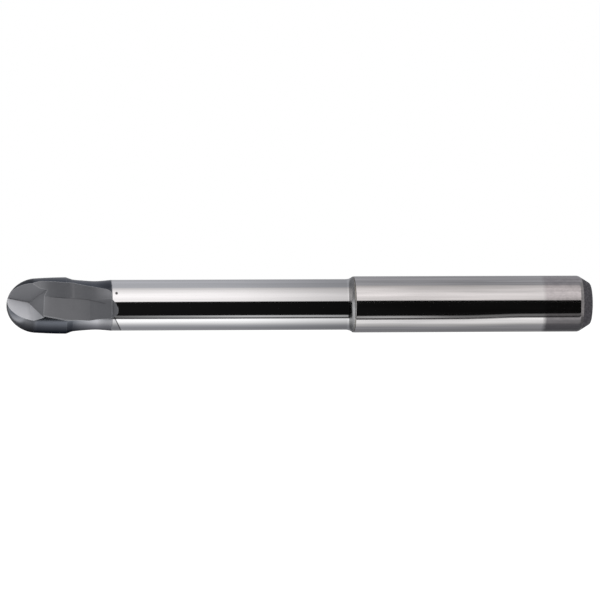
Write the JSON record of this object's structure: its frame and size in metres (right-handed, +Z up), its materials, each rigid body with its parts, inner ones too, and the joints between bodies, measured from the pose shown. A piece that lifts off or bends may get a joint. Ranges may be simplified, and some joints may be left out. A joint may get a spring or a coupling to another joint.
{
  "type": "end mill",
  "caption": "Long-reach ball-nose end mill: coated fluted head, polished reduced neck with a filleted shoulder, and a plain round shank with a chamfered tail.",
  "frame": {"origin": "centre of the flat end face of the shank, at the tail", "axes": "+X along the tool's axis out of the tail, so the cutting tip is at -X; +Z up when the tool lies level"},
  "size_m": [0.125, 0.012, 0.012],
  "materials": {
    "coated_carbide": "satin dark grey coating over ground carbide",
    "silver_filler": "dull silver braze",
    "polished_neck": "mirror polish with fine lengthwise lines",
    "ground_shank": "fine ground polish with fine streaks and a dark blasted tail chamfer"
  },
  "bodies": {
    "root": {"ball_head": "coated_carbide", "head_braze": "silver_filler", "neck_bar": "polished_neck", "shank_braze": "silver_filler", "shank": "ground_shank"}
  },
  "joints": []
}
